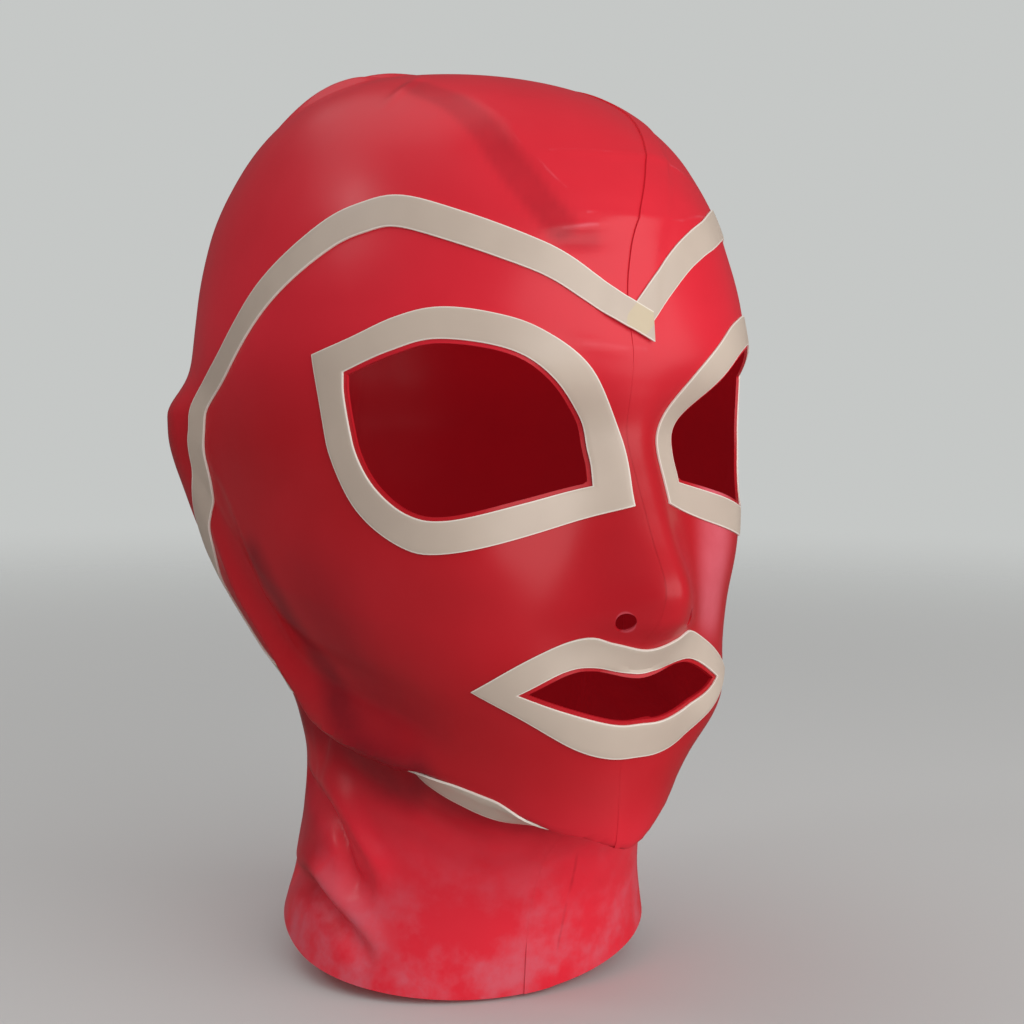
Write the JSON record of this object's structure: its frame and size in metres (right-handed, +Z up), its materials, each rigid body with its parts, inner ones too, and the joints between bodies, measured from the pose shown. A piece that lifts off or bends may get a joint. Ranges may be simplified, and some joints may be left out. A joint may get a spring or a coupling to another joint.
{
  "type": "latex hood",
  "caption": "Full-head latex hood with an attached neck, open at the eyes, mouth and nostrils, with contrasting flat strips round the openings and round the face.",
  "frame": {"origin": "inside top of the crown, where the hood rests on the head", "axes": "+Z up, the face looks towards -Y, +X to the wearer's left"},
  "size_m": [0.1738, 0.2079, 0.2678],
  "materials": {
    "red_latex": "satin red latex sheet",
    "cream_latex": "satin cream latex sheet"
  },
  "bodies": {
    "root": {"panel_right": "red_latex", "panel_left": "red_latex", "eye_trim_right": "cream_latex", "eye_trim_left": "cream_latex", "mouth_trim": "cream_latex", "face_band_right": "cream_latex", "face_band_left": "cream_latex"}
  },
  "joints": []
}
